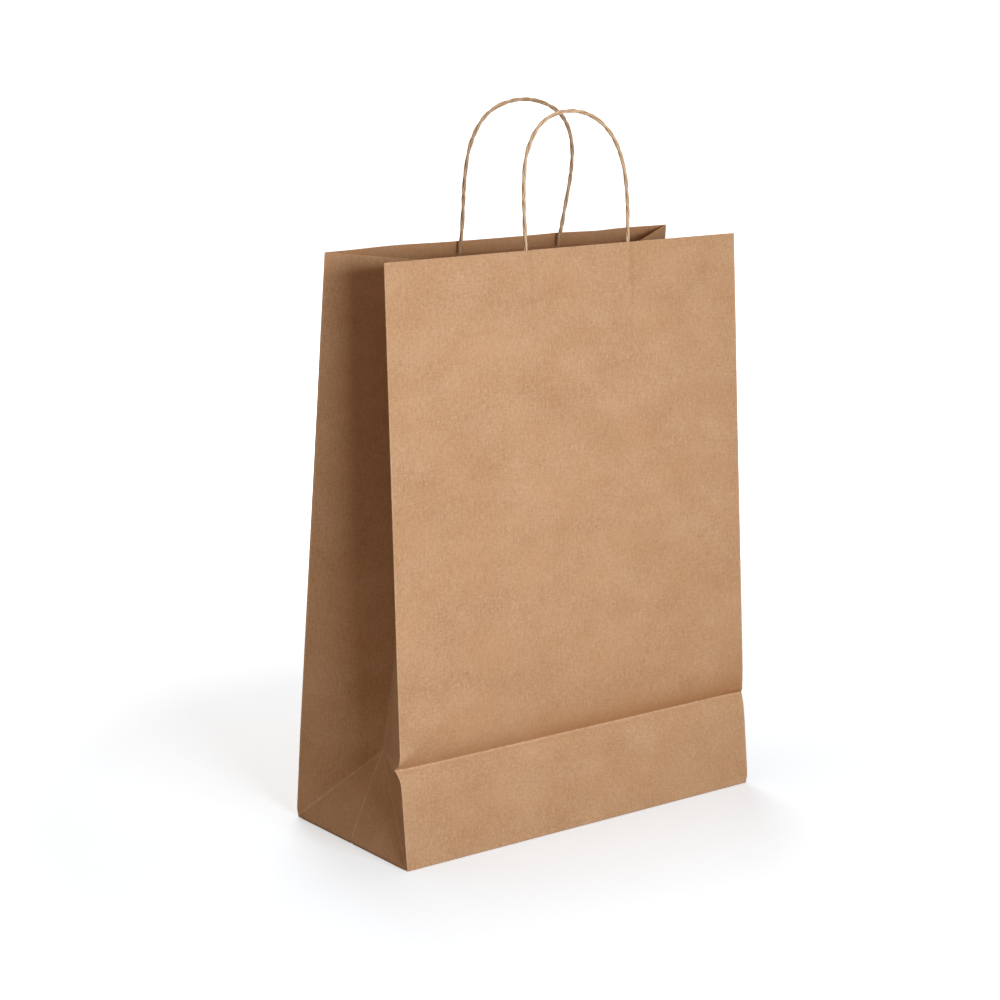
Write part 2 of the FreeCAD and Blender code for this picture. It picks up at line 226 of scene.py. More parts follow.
# mesh helpers
def addPiece(name, points, facing, fold=None, tone=0.0):
    # Grid of points (rows, columns, 3) to an object whose faces look along facing.
    # fold is the distance to the nearest fold in metres, tone the painted shade over the crease.
    rows, columns = points.shape[:2]
    index = np.arange(rows * columns).reshape(rows, columns)
    quads = np.stack([index[:-1, :-1], index[:-1, 1:], index[1:, 1:], index[1:, :-1]], axis=-1)
    quads = quads.reshape(-1, 4)
    flat = points.reshape(-1, 3)
    normals = np.cross(flat[quads[:, 2]] - flat[quads[:, 0]], flat[quads[:, 3]] - flat[quads[:, 1]])
    if (normals @ np.asarray(facing, float)).sum() < 0:
        quads = quads[:, ::-1]
    mesh = bpy.data.meshes.new(name)
    mesh.from_pydata(flat.tolist(), [], quads.tolist())
    fold = sheet["farFromFold"] if fold is None else fold
    for label, values in (("foldDistance", fold), ("paintedShade", tone)):
        attribute = mesh.attributes.new(label, "FLOAT", "POINT")
        values = np.broadcast_to(values, (rows, columns)).ravel()
        attribute.data.foreach_set("value", values.astype(np.float32))
    mesh.update()
    piece = bpy.data.objects.new(name, mesh)
    bpy.context.scene.collection.objects.link(piece)
    return piece


def finishSheet(piece, thickness, material):
    # Closes the sheet to its thickness, joins the points of a pole, paints shade on its inner face and keeps
    # edges crisp.
    weld = piece.modifiers.new("weld", "WELD")
    weld.merge_threshold = sheet["weld"]
    solid = piece.modifiers.new("thickness", "SOLIDIFY")
    solid.thickness = thickness
    solid.offset = -1.0
    bpy.context.view_layer.update()
    evaluated = piece.evaluated_get(bpy.context.evaluated_depsgraph_get())
    finished = bpy.data.meshes.new_from_object(evaluated)
    piece.modifiers.clear()
    old = piece.data
    piece.data = finished
    bpy.data.meshes.remove(old)
    finished.name = piece.name
    tone = np.zeros(len(finished.vertices), np.float32)  # the second half of the points is the inner face, which gets painted shade
    finished.attributes["paintedShade"].data.foreach_get("value", tone)
    tone[len(tone) // 2:] = sheet["innerShade"]
    finished.attributes["paintedShade"].data.foreach_set("value", tone)
    finished.polygons.foreach_set("use_smooth", np.ones(len(finished.polygons), bool))
    finished.set_sharp_from_angle(angle=math.radians(sheet["crispAngle"]))
    finished.materials.clear()
    finished.materials.append(material)


# materials
kraft = {
    "pale": (0.740, 0.550, 0.382, 1),
    "blush": (0.640, 0.415, 0.240, 1),  # redder clouds in the pulp
    "deep": (0.540, 0.346, 0.203, 1),
    "worn": (0.800, 0.620, 0.460, 1),
    # painted shade: this colour darkens the band over the cross crease and the paper's inner face
    "shadeTone": (0.470, 0.245, 0.105, 1),
    "fleck": (0.105, 0.058, 0.032, 1),
    "roughness": 0.82,
}
patchPaper = dict(kraft, pale=(0.650, 0.450, 0.300, 1), blush=(0.560, 0.360, 0.210, 1),
                  deep=(0.500, 0.310, 0.185, 1), worn=(0.740, 0.550, 0.390, 1), roughness=0.85)
cordPaper = {
    "pale": (0.860, 0.700, 0.520, 1),
    "deep": (0.620, 0.450, 0.300, 1),
    # painted shade in the cord's groove and frayed dips
    "groove": (0.300, 0.180, 0.095, 1),
    "roughness": 0.7,
    "specular": 0.3,
    "sheen": 0.1,
    "bump": 0.5,
    "bumpDepth": 0.0002,
}
paperLook = {
    "blushShare": 0.30,
    "wornShare": 0.85,
    "shadeShare": 0.85,
    "rougher": 0.06,  # roughness of the dark pulp over the mean, and of the pale pulp under it
    "smoother": 0.04,
    "specular": 0.25,
    "sheen": 0.12,
    "sheenRoughness": 0.6,
    "bump": 0.35,
    "bumpDepth": 0.00012,
    "foldHeight": 0.8,
}
# scales are waves to a metre along x, y and z; shares add up to about 1
pulp = {
    "cloud": {"scale": (28.0, 28.0, 38.0), "share": 0.19},
    "mottle": {"scale": 640.0, "share": 0.27},
    "upright": {"scale": (1300.0, 1300.0, 190.0), "share": 0.26, "height": 0.45},
    "level": {"scale": (210.0, 210.0, 1200.0), "share": 0.16, "height": 0.25},
    "grain": {"scale": 2400.0, "share": 0.10, "height": 0.30},
    "toneRange": (0.39, 0.61),
    "blushScale": (19.0, 19.0, 27.0),
    "blushRange": (0.38, 0.66),
    "fleckScale": 150.0,
    "fleckRare": 0.972,  # share of the cells that hold no fleck
    "fleckEdge": (0.03, 0.06),
}


def newGroup(name, inputs, outputs):
    group = bpy.data.node_groups.new(name, "ShaderNodeTree")
    for label, kind in inputs:
        group.interface.new_socket(label, in_out="INPUT", socket_type=kind)
    for label, kind in outputs:
        group.interface.new_socket(label, in_out="OUTPUT", socket_type=kind)
    start = group.nodes.new("NodeGroupInput")
    end = group.nodes.new("NodeGroupOutput")
    return group, start, end


def addMath(tree, operation, first, second, clamp=False):
    node = tree.nodes.new("ShaderNodeMath")
    node.operation = operation
    node.use_clamp = clamp
    for socket, value in zip(node.inputs, (first, second)):
        if isinstance(value, (int, float)):
            socket.default_value = value
        else:
            tree.links.new(value, socket)
    return node.outputs[0]


def addNoise(tree, vector, scale, detail, roughness=0.5):
    node = tree.nodes.new("ShaderNodeTexNoise")
    tree.links.new(vector, node.inputs["Vector"])
    node.inputs["Scale"].default_value = scale
    node.inputs["Detail"].default_value = detail
    node.inputs["Roughness"].default_value = roughness
    return node.outputs["Fac"]


def addScaled(tree, vector, scale):
    node = tree.nodes.new("ShaderNodeMapping")
    node.vector_type = "POINT"
    node.inputs["Scale"].default_value = scale
    tree.links.new(vector, node.inputs["Vector"])
    return node.outputs[0]


def addRange(tree, value, low, high, toLow=0.0, toHigh=1.0):
    node = tree.nodes.new("ShaderNodeMapRange")
    tree.links.new(value, node.inputs["Value"])
    node.inputs["From Min"].default_value = low
    node.inputs["From Max"].default_value = high
    node.inputs["To Min"].default_value = toLow
    node.inputs["To Max"].default_value = toHigh
    return node.outputs[0]


def makePulpGroup():
    # Kraft pulp: clouds, mottling, fibres along and across the sheet, and rare dark flecks.
    group, start, end = newGroup(
        "kraftPulp", [("Vector", "NodeSocketVector")],
        [("Tone", "NodeSocketFloat"), ("Blush", "NodeSocketFloat"), ("Fleck", "NodeSocketFloat"),
         ("Height", "NodeSocketFloat")])
    place = start.outputs["Vector"]
    noises = {
        "cloud": addNoise(group, addScaled(group, place, pulp["cloud"]["scale"]), 1.0, 4.0, 0.55),
        "mottle": addNoise(group, place, pulp["mottle"]["scale"], 3.0, 0.6),
        "upright": addNoise(group, addScaled(group, place, pulp["upright"]["scale"]), 1.0, 4.0, 0.6),
        "level": addNoise(group, addScaled(group, place, pulp["level"]["scale"]), 1.0, 3.0, 0.6),
        "grain": addNoise(group, place, pulp["grain"]["scale"], 2.0, 0.5),
    }

    def weighted(key, labels):
        # sum of the named noises, each times its own weight
        total = None
        for label in labels:
            part = addMath(group, "MULTIPLY", noises[label], pulp[label][key])
            total = part if total is None else addMath(group, "ADD", total, part)
        return total

    tone = weighted("share", ("cloud", "mottle", "upright", "level", "grain"))
    group.links.new(addRange(group, tone, *pulp["toneRange"]), end.inputs["Tone"])
    blush = addNoise(group, addScaled(group, place, pulp["blushScale"]), 1.0, 4.0, 0.55)
    group.links.new(addRange(group, blush, *pulp["blushRange"]), end.inputs["Blush"])
    cells = group.nodes.new("ShaderNodeTexVoronoi")
    cells.inputs["Scale"].default_value = pulp["fleckScale"]
    group.links.new(place, cells.inputs["Vector"])
    split = group.nodes.new("ShaderNodeSeparateColor")
    group.links.new(cells.outputs["Color"], split.inputs[0])
    rare = addMath(group, "GREATER_THAN", split.outputs[0], pulp["fleckRare"])
    near = addRange(group, cells.outputs["Distance"], *pulp["fleckEdge"], 1.0, 0.0)
    group.links.new(addMath(group, "MULTIPLY", rare, near), end.inputs["Fleck"])
    group.links.new(weighted("height", ("upright", "level", "grain")), end.inputs["Height"])
    return group


def makeFoldGroup():
    # Wear along a fold: 1 on the fold line, fading to 0 about a millimetre away.
    group, start, end = newGroup(
        "foldWear", [("Distance", "NodeSocketFloat"), ("Vector", "NodeSocketVector")],
        [("Wear", "NodeSocketFloat")])
    line = addRange(group, start.outputs["Distance"], 0.0002, 0.0015, 1.0, 0.0)
    patchy = addRange(group, addNoise(group, start.outputs["Vector"], 300.0, 3.0), 0.25, 0.7)
    group.links.new(addMath(group, "MULTIPLY", line, patchy, True), end.inputs["Wear"])
    return group


pulpGroup = makePulpGroup()
foldGroup = makeFoldGroup()


def useGroup(tree, group):
    node = tree.nodes.new("ShaderNodeGroup")
    node.node_tree = group
    return node


def addMix(tree, factor, first, second):
    node = tree.nodes.new("ShaderNodeMix")
    node.data_type = "RGBA"
    for socket, value in ((node.inputs["Factor"], factor), (node.inputs[6], first), (node.inputs[7], second)):
        if isinstance(value, (tuple, float, int)):
            socket.default_value = value
        else:
            tree.links.new(value, socket)
    return node.outputs[2]


def addBump(tree, shader, height, values):
    bump = tree.nodes.new("ShaderNodeBump")
    bump.inputs["Strength"].default_value = values["bump"]
    bump.inputs["Distance"].default_value = values["bumpDepth"]
    tree.links.new(height, bump.inputs["Height"])
    tree.links.new(bump.outputs[0], shader.inputs["Normal"])


def makePaper(name, values):
    # Uncoated kraft paper: pulp tone between two browns, flecks, paler worn folds, and painted shade over the
    # cross crease and on the inner face.
    material = bpy.data.materials.new(name)
    material.use_nodes = True
    tree = material.node_tree
    shader = tree.nodes["Principled BSDF"]
    place = tree.nodes.new("ShaderNodeTexCoord").outputs["Object"]
    fibre = useGroup(tree, pulpGroup)
    tree.links.new(place, fibre.inputs["Vector"])
    fold = useGroup(tree, foldGroup)
    distance = tree.nodes.new("ShaderNodeAttribute")
    distance.attribute_name = "foldDistance"
    tree.links.new(distance.outputs["Fac"], fold.inputs["Distance"])
    tree.links.new(place, fold.inputs["Vector"])
    # painted shade over the cross crease and on the inner face, from a point attribute
    shadeTone = tree.nodes.new("ShaderNodeAttribute")
    shadeTone.attribute_name = "paintedShade"
    colour = addMix(tree, fibre.outputs["Tone"], values["deep"], values["pale"])
    for mask, share, label in ((fibre.outputs["Blush"], "blushShare", "blush"),
                               (fold.outputs["Wear"], "wornShare", "worn"),
                               (shadeTone.outputs["Fac"], "shadeShare", "shadeTone")):
        colour = addMix(tree, addMath(tree, "MULTIPLY", mask, paperLook[share]), colour, values[label])
    colour = addMix(tree, fibre.outputs["Fleck"], colour, values["fleck"])
    tree.links.new(colour, shader.inputs["Base Color"])
    rough = values["roughness"] + paperLook["rougher"]
    smoothest = values["roughness"] - paperLook["smoother"]
    roughness = addRange(tree, fibre.outputs["Tone"], 0.0, 1.0, rough, smoothest)
    tree.links.new(roughness, shader.inputs["Roughness"])
    shader.inputs["Specular IOR Level"].default_value = paperLook["specular"]
    shader.inputs["Sheen Weight"].default_value = paperLook["sheen"]
    shader.inputs["Sheen Roughness"].default_value = paperLook["sheenRoughness"]
    worn = addMath(tree, "MULTIPLY", fold.outputs["Wear"], paperLook["foldHeight"])
    addBump(tree, shader, addMath(tree, "ADD", fibre.outputs["Height"], worn), paperLook)
    return material


def makeCord(name, values):
    # Twisted paper cord: painted shade darkens it in the groove, and fine lines follow the twist.
    material = bpy.data.materials.new(name)
    material.use_nodes = True
    tree = material.node_tree
    shader = tree.nodes["Principled BSDF"]
    placeUv = tree.nodes.new("ShaderNodeUVMap")
    placeUv.uv_map = "cordPlace"
    depth = tree.nodes.new("ShaderNodeAttribute")
    depth.attribute_name = "grooveShade"
    lines = addNoise(tree, addScaled(tree, placeUv.outputs[0], (9.0, 1400.0, 1.0)), 1.0, 4.0, 0.6)
    stretch = addNoise(tree, addScaled(tree, placeUv.outputs[0], (3.0, 170.0, 1.0)), 1.0, 3.0, 0.6)
    lines, stretch = (addMath(tree, "MULTIPLY", part, 0.5) for part in (lines, stretch))
    tone = addMath(tree, "ADD", lines, stretch)
    colour = addMix(tree, addRange(tree, tone, 0.32, 0.62), values["deep"], values["pale"])
    colour = addMix(tree, depth.outputs["Fac"], colour, values["groove"])
    tree.links.new(colour, shader.inputs["Base Color"])
    shader.inputs["Roughness"].default_value = values["roughness"]
    shader.inputs["Specular IOR Level"].default_value = values["specular"]
    shader.inputs["Sheen Weight"].default_value = values["sheen"]
    addBump(tree, shader, tone, values)
    return material


kraftMaterial = makePaper("kraftPaper", kraft)
patchMaterial = makePaper("patchPaper", patchPaper)
cordMaterial = makeCord("twistedCord", cordPaper)
print("materials made")


# front and back walls
cords = {
    "radius": 0.0014,
    "overWall": 0.00206,  # outer face of the wall to the cord's centre
    "endLength": 0.048,
    "ridge": 0.0013,  # how far a glued end shows through the wall
    "ridgeReach": 0.0031,
    "ridgeStart": 0.006,  # height over which the ridge begins
}
frontLegs = (-0.0361, 0.0565)
backLegs = (-0.0400, 0.0510)


def legRidge(x, up, legs):
    # Outward swelling of a wall over each glued cord end: a soft upright ridge.
    over = np.clip((up - (rimUp - cords["endLength"])) / cords["ridgeStart"], 0, 1)
    total = sum(np.exp(-((x - leg) / cords["ridgeReach"]) ** 2) for leg in legs)
    return cords["ridge"] * total * over


# extra grid lines, in metres where not said otherwise
closeLines = {
    "leg": np.linspace(-0.008, 0.008, 19),
    "edge": (0.0015, 0.004, 0.009, 0.016),  # as shares of the half width
    "crease": np.array([-0.006, -0.0035, -0.002, -0.001, -0.0004, 0, 0.0004, 0.001, 0.002,
                        0.0027, 0.0035, 0.0043, 0.0055, 0.008]),
    "rim": np.array([0.0004, 0.0012]),
    "bottom": np.array([0, 0.25, 0.5, 0.75, 1.0, 1.6]),  # times the bottom's radius
}


def wallGrid(legs, low, high):
    step = sheet["step"]
    near = [(leg + closeLines["leg"]) / halfWidth for leg in legs]
    edges = [np.array([-1 + e, 1 - e]) for e in closeLines["edge"]]
    across = spread(-1.0, 1.0, step / halfWidth, near + edges)
    up = spread(low, high, step, [creaseUp + closeLines["crease"], rimUp - closeLines["rim"],
                                  sheet["bottomRound"] * closeLines["bottom"]])
    return np.meshgrid(across, up)


def bluntCorners(points):
    # the four bottom corners are worn in by blunt exp(-(distance / reach)^2), along the diagonal
    signs = np.sign(points[..., :2])
    corner = np.concatenate([signs * (halfWidth, halfDepth), 0 * points[..., :1]], axis=-1)
    near = np.exp(-(np.linalg.norm(points - corner, axis=-1) / sheet["bluntReach"]) ** 2)
    shift = np.concatenate([-signs * sheet["bluntTurn"], 0 * points[..., :1]], axis=-1)
    return points + sheet["blunt"] * near[..., None] * shift


def makeWall(name, wall, legs, low, high, tuck):
    across, up = wallGrid(legs, low, high)
    x = across * halfWidth
    points = bluntCorners(wallPoint(wall, across, up, -legRidge(x, up, legs)))
    fold = np.minimum((1 - np.abs(across)) * halfWidth, np.abs(up - creaseUp))
    fold = np.minimum(fold, up + 0.0002)
    if tuck:  # a hidden strip runs on behind the foot strip, so that the hinge stays closed
        below = np.array([sheet["tuckBelow"], 0.0006])
        rows = wallPoint(wall, across[:2], (creaseUp - below)[:, None] + 0 * across[:2], sheet["tuckGap"])
        points = np.concatenate([rows, points], axis=0)
        fold = np.concatenate([np.full(rows.shape[:2], sheet["farFromFold"]), fold], axis=0)
        across, up = np.concatenate([across[:2], across]), np.concatenate([up[:2], up])
    return addPiece(name, points, (0, wall["outward"], 0), fold, paintedShade(across, up))


walls = (
    ("frontPanelPaper", frontWall, frontLegs, creaseUp, rimUp, True, "front_wall", "front_panel"),
    ("backPanelPaper", backWall, backLegs, creaseUp, rimUp, True, "back_wall", "back_panel"),
    ("frontFootPaper", frontWall, frontLegs, 0.0, creaseUp, False, "base", "front_foot_strip"),
    ("backFootPaper", backWall, backLegs, 0.0, creaseUp, False, "base", "back_foot_strip"),
)
for name, wall, legs, low, high, tuck, body, node in walls:
    piece = makeWall(name, wall, legs, low, high, tuck)
    finishSheet(piece, sheet["paper"], kraftMaterial)
    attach(piece, body)
    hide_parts(node)
print("walls made")


# side gussets
gusset = {
    "halfPaper": halfDepth,  # paper from the wall's corner fold to the centre fold
    "footBulge": 0.0011,  # the faint centre crease of the foot triangle stands out
    "upperBulge": 0.0016,
    "centreTongue": 0.0060,  # hidden strip behind the other half
    "tongueTurn": 20,  # degrees away from it
    "columns": 30,
    "faintCrease": 0.0008,  # the cross crease is hardly worn here
    "vertexLift": 0.0007,  # the folds meet this far over the foot triangle's tip
    "topShare": 0.9965,  # height of the centre fold's top, as a share of the wall's paper
    "footEase": 9,  # how fast the centre fold leaves the foot vertex
    "blendStart": -0.15,  # shares of the half's height, low and high
    "blendEnd": 1.08,
}


def sideWord(side):
    return "left" if side < 0 else "right"


def placeWord(wall):
    return "front" if wall["outward"] < 0 else "back"


def wallEdge(wall, side, up):
    return wallPoint(wall, side * np.ones_like(up), up)


def footVertex(side):
    # Where the folds of the gusset's foot meet.
    low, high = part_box(sideWord(side) + "_gusset_foot")
    x = high.x if side < 0 else low.x
    return np.array([x - side * sheet["creaseGap"], 0.0, high.z + gusset["vertexLift"]])


def centreFold(side, up):
    # The gusset's centre fold: as deep as paper of half the depth reaches from the corner
    # folds, depth = sqrt(half paper squared - half gap squared), easing in at the foot.
    foot = footVertex(side)
    rise = np.clip((up - creaseUp) / panelUp, 0, 1)
    halfGap = (backWall["crease"][1] - frontWall["crease"][1]
               + (backWall["lean"][1] - frontWall["lean"][1]) * rise * panelUp) / 2
    middle = (backWall["crease"][1] + frontWall["crease"][1]
              + (backWall["lean"][1] + frontWall["lean"][1]) * rise * panelUp) / 2
    narrow = (frontWall["narrow"] + backWall["narrow"]) / 2
    depth = np.sqrt(gusset["halfPaper"] ** 2 - halfGap ** 2)
    footGap = (backWall["crease"][1] - frontWall["crease"][1]) / 2
    footX = side * (halfWidth - np.sqrt(gusset["halfPaper"] ** 2 - footGap ** 2))
    ease = np.exp(-rise * gusset["footEase"])
    x = side * (halfWidth - narrow * rise * panelUp - depth) + (foot[0] - footX) * ease
    z = foot[2] + panelUp * gusset["topShare"] * rise
    return np.stack([x, middle * (1 - ease), z], axis=-1)


def makeGussetHalf(side, wall):
    # Straight lines from the wall's side edge to the centre fold, swelling outwards by
    # upperBulge sin(pi along) sin(pi rise)^0.7, less where a slow wave runs over it.
    place = placeWord(wall)
    node = sideWord(side) + "_gusset_" + place
    cusp = creaseUp + np.array([0.0004, 0.001, 0.002, 0.0035, 0.0055, 0.008])
    up = spread(creaseUp, rimUp, sheet["step"], [cusp])
    edge = wallEdge(wall, side, up)[:, None, :]
    centre = centreFold(side, up)[:, None, :]
    along = np.linspace(0, 1, gusset["columns"])[None, :, None]
    points = edge * (1 - along) + centre * along
    rise = ((up - creaseUp) / panelUp)[:, None, None]
    bulge = np.sin(np.pi * along) * np.sin(np.pi * np.clip(rise * 1.15, 0, 1)) ** 0.7
    waves = 0.35 * np.sin(9 * rise + 4 * along + (1 if side < 0 else 2.4))
    normal = np.cross(centre - edge, np.array([0, 0, 1.0]))
    normal = normal / np.linalg.norm(normal, axis=-1, keepdims=True)
    normal = normal * np.sign(normal[..., :1] * side)
    points = points + normal * gusset["upperBulge"] * bulge * (0.6 + waves)
    fold = np.minimum(along[..., 0], 1 - along[..., 0]) * gusset["halfPaper"]
    fold = np.minimum(fold, (up - creaseUp)[:, None] + gusset["faintCrease"])
    if place == "front":  # the centre fold's paper runs on behind the back half, turned a little inwards
        other = wallEdge(backWall, side, up)[:, None, :]
        away = (other - centre) / np.linalg.norm(other - centre, axis=-1, keepdims=True)
        turn = math.radians(gusset["tongueTurn"])
        inward = np.concatenate([-side * np.abs(away[..., 1:2]), np.abs(away[..., :1]),
                                 0 * away[..., :1]], axis=-1)
        away = away * math.cos(turn) + inward * math.sin(turn)
        reach = gusset["centreTongue"] * np.array([0.12, 0.5, 1.0])[None, :, None]
        tongue = centre + away * reach * (0.2 + 0.8 * smooth(rise * 5))
        points = np.concatenate([points, tongue], axis=1)
        fold = np.concatenate([fold, np.full(tongue.shape[:2], sheet["farFromFold"])], axis=1)
    # a hidden strip runs on behind the foot
    below = np.array([sheet["tuckBelow"], 0.0007])[:, None, None]
    inX = np.array([-side, 0, 0]) * sheet["tuckGap"]
    inY = np.array([0, -wall["outward"], 0]) * sheet["tuckGap"] * 1.5
    strip = points[:1] - np.array([0, 0, 1.0]) * below + inX + inY
    points = np.concatenate([strip, points], axis=0)
    fold = np.concatenate([np.full(strip.shape[:2], sheet["farFromFold"]), fold], axis=0)
    piece = addPiece(sideWord(side) + place.capitalize() + "GussetPaper", points, (side, 0, 0), fold)
    finishSheet(piece, sheet["paper"], kraftMaterial)
    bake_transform(piece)
    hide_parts(node + "_outer", node + "_inner")


def makeCornerFold(side, wall):
    # Straight lines from the foot of the wall's side edge to the foot vertex.
    place = placeWord(wall)
    cusp = creaseUp - np.array([0.006, 0.0035, 0.002, 0.001, 0.0004])
    up = spread(0.0, creaseUp, sheet["step"], [cusp, sheet["bottomRound"] * closeLines["bottom"][1:]])
    edge = wallEdge(wall, side, up)[:, None, :]
    along = np.linspace(0, 1, gusset["columns"])[None, :, None]
    points = bluntCorners(edge * (1 - along) + footVertex(side) * along)
    fold = np.minimum(along[..., 0] * halfDepth + gusset["faintCrease"],
                      (creaseUp - up)[:, None] * (1 - along[..., 0]) + gusset["faintCrease"])
    fold = np.minimum(fold, up[:, None] * (1 - along[..., 0]) * 0.7)
    piece = addPiece(sideWord(side) + place.capitalize() + "CornerPaper", points, (side, 0, 0), fold)
    finishSheet(piece, sheet["paper"], kraftMaterial)
    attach(piece, "base")
    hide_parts(sideWord(side) + "_" + place + "_corner_fold")


def makeGussetFoot(side):
    # Leaning triangle from the bottom edge to the foot vertex, a little folded at its middle:
    # it stands out by footBulge (1 - |across|) sin(pi rise).
    across = np.linspace(-1, 1, 57)[None, :, None]
    fine = sheet["bottomRound"] / halfDepth * closeLines["bottom"][1:]
    rise = spread(0.0, 1.0, sheet["step"] / halfDepth, [fine])[:, None, None]
    turn = np.clip(rise * halfDepth / sheet["bottomRound"], 0, 1)
    roundIn = sheet["bottomRound"] * (1 - np.sin(turn * np.pi / 2))
    roundUp = sheet["bottomRound"] * (1 - np.cos(turn * np.pi / 2))
    roundUp = roundUp * (rise * halfDepth < sheet["bottomRound"])
    base = np.concatenate([side * (halfWidth - roundIn) + 0 * across, halfDepth * across + 0 * rise,
                           roundUp + 0 * across], axis=-1)
    points = base * (1 - rise) + footVertex(side) * rise
    out = gusset["footBulge"] * (1 - np.abs(across)) * np.sin(np.pi * rise)
    points = bluntCorners(points + np.array([side * 0.91, 0, 0.41]) * out)
    span = (1 - rise[..., 0]) * halfDepth
    fold = np.minimum(np.abs(across[..., 0]) * span, (1 - np.abs(across[..., 0])) * span * 0.7)
    piece = addPiece(sideWord(side) + "FootPaper", points, (side, 0, 0), fold)
    finishSheet(piece, sheet["paper"], kraftMaterial)
    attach(piece, "base")
    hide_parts(sideWord(side) + "_gusset_foot")


for side in (-1, 1):
    makeGussetFoot(side)
    for wall in (frontWall, backWall):
        makeCornerFold(side, wall)
        makeGussetHalf(side, wall)
print("gussets made")


# block bottom
bottom = {
    "waves": 0.00022,
    "step": 0.004,
    "lift": 0.00006,
    "longIn": 0.0008,  # side gap of the long flaps
    "tuckIn": 0.0016,  # side gap of the tuck flaps
    "foldIn": 0.6,  # the fold lies this many bottom radii in from the wall
    "thin": 0.8,  # share of the paper's thickness, so that the layers stay apart
    "secondLayer": 0.0004,  # a flap whose underside is higher than this may wave
}


def makeFlap(name, node):
    # Flat flap with the outline of its CAD piece, grown to the folds and slightly wavy.
    low, high = (np.array(corner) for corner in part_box(node))
    span = high - low
    long = "tuck" not in node
    run = 1 if long else 0  # axis from the fold to the free edge
    fromLow = node.startswith("outer") or node.startswith("left")
    foldAt, freeAt = (low[run], high[run]) if fromLow else (high[run], low[run])
    foldAt = np.sign(foldAt) * ((halfDepth if long else halfWidth) - sheet["bottomRound"] * bottom["foldIn"])
    rows = np.linspace(0, 1, int(span[run] / bottom["step"]))[:, None]
    across = np.linspace(-1, 1, int(span[1 - run] / bottom["step"]))[None, :]
    if long:
        half = halfWidth - bottom["longIn"] - rows * abs(foldAt - freeAt)
    else:
        half = (halfDepth - bottom["tuckIn"]) * (1 - rows) + halfDepth / 2 * rows
    points = np.zeros((rows.size, across.size, 3))
    points[..., run] = foldAt + (freeAt - foldAt) * rows
    points[..., 1 - run] = across * half
    wave = 0.5 + 0.5 * np.sin(points[..., 0] * 61 + 2 * rows) * np.cos(points[..., 1] * 83 + 1)
    wave = wave * (0.2 + 0.8 * rows) * (low[2] > bottom["secondLayer"])
    points[..., 2] = low[2] + bottom["lift"] + bottom["waves"] * wave
    piece = addPiece(name, points, (0, 0, -1), rows * sheet["farFromFold"])
    finishSheet(piece, sheet["paper"] * bottom["thin"], kraftMaterial)
    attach(piece, "base")
    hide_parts(node)


for name, node in (("outerFlapPaper", "outer_base_flap"), ("innerFlapPaper", "inner_base_flap"),
                   ("leftTuckPaper", "left_tuck_flap"), ("rightTuckPaper", "right_tuck_flap")):
    makeFlap(name, node)
print("bottom made")


# seam lap and handle patches
strips = {
    "lapShift": 0.0015,
    "lapEnd": 0.003,  # the lap stays this far from the crease and the floor
    "lapRim": 0.0008,
    "lapInset": 0.00045,  # outer face of the wall to the strip
    "baseInset": 0.00035,
    "coverInset": 0.0007,
    "coverLow": 0.0004,  # the cover ends this far inside the base strip
    "coverTop": 0.0006,
    "humpReach": 0.0027,  # the cover rises over a cord as exp(-(|distance| / reach)^3)
}


def innerStrip(name, node, body, wall, xRange, upRange, offset, material, over=()):
    # Strip that lies on the inside of a wall between two places across and two heights,
    # with a hump over each leg that it covers.
    x = spread(*xRange, sheet["step"], [leg + np.linspace(-0.005, 0.005, 27) for leg in over])
    up = spread(*upRange, sheet["step"])
    gridX, gridUp = np.meshgrid(x, up)
    across = gridX / (halfWidth - wall["narrow"] * np.maximum(gridUp - creaseUp, 0))
    lift = offset * np.ones_like(gridX)
    for leg in over:
        lift = lift + 2 * cords["radius"] * np.exp(-(np.abs(gridX - leg) / strips["humpReach"]) ** 3.0)
    piece = addPiece(name, wallPoint(wall, across, gridUp, lift), (0, wall["outward"], 0))
    finishSheet(piece, sheet["paper"], material)
    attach(piece, body)
    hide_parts(node)


lapX = [corner.x - strips["lapShift"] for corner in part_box("foot_seam_lap")]
for name, node, body, upRange in (
        ("seamLapPaper", "seam_lap", "back_wall", (creaseUp + strips["lapEnd"], rimUp - strips["lapRim"])),
        ("footSeamLapPaper", "foot_seam_lap", "base", (strips["lapEnd"], creaseUp - strips["lapEnd"]))):
    innerStrip(name, node, body, backWall, lapX, upRange, strips["lapInset"], kraftMaterial)
for place, wall, legs in (("front", frontWall, frontLegs), ("back", backWall, backLegs)):
    low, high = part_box(place + "_patch_base")
    reach = (high.z - low.z) / wall["lean"][2]
    top = creaseUp + (high.z - wall["crease"][2]) / wall["lean"][2]
    innerStrip(place + "PatchBasePaper", place + "_patch_base", place + "_wall", wall, (low.x, high.x),
               (top - reach, top), strips["baseInset"], patchMaterial)
    innerStrip(place + "PatchCoverPaper", place + "_patch_cover", place + "_wall", wall, (low.x, high.x),
               (top - reach + strips["coverLow"], top - strips["coverTop"]), strips["coverInset"],
               patchMaterial, legs)
print("seam and patches made")


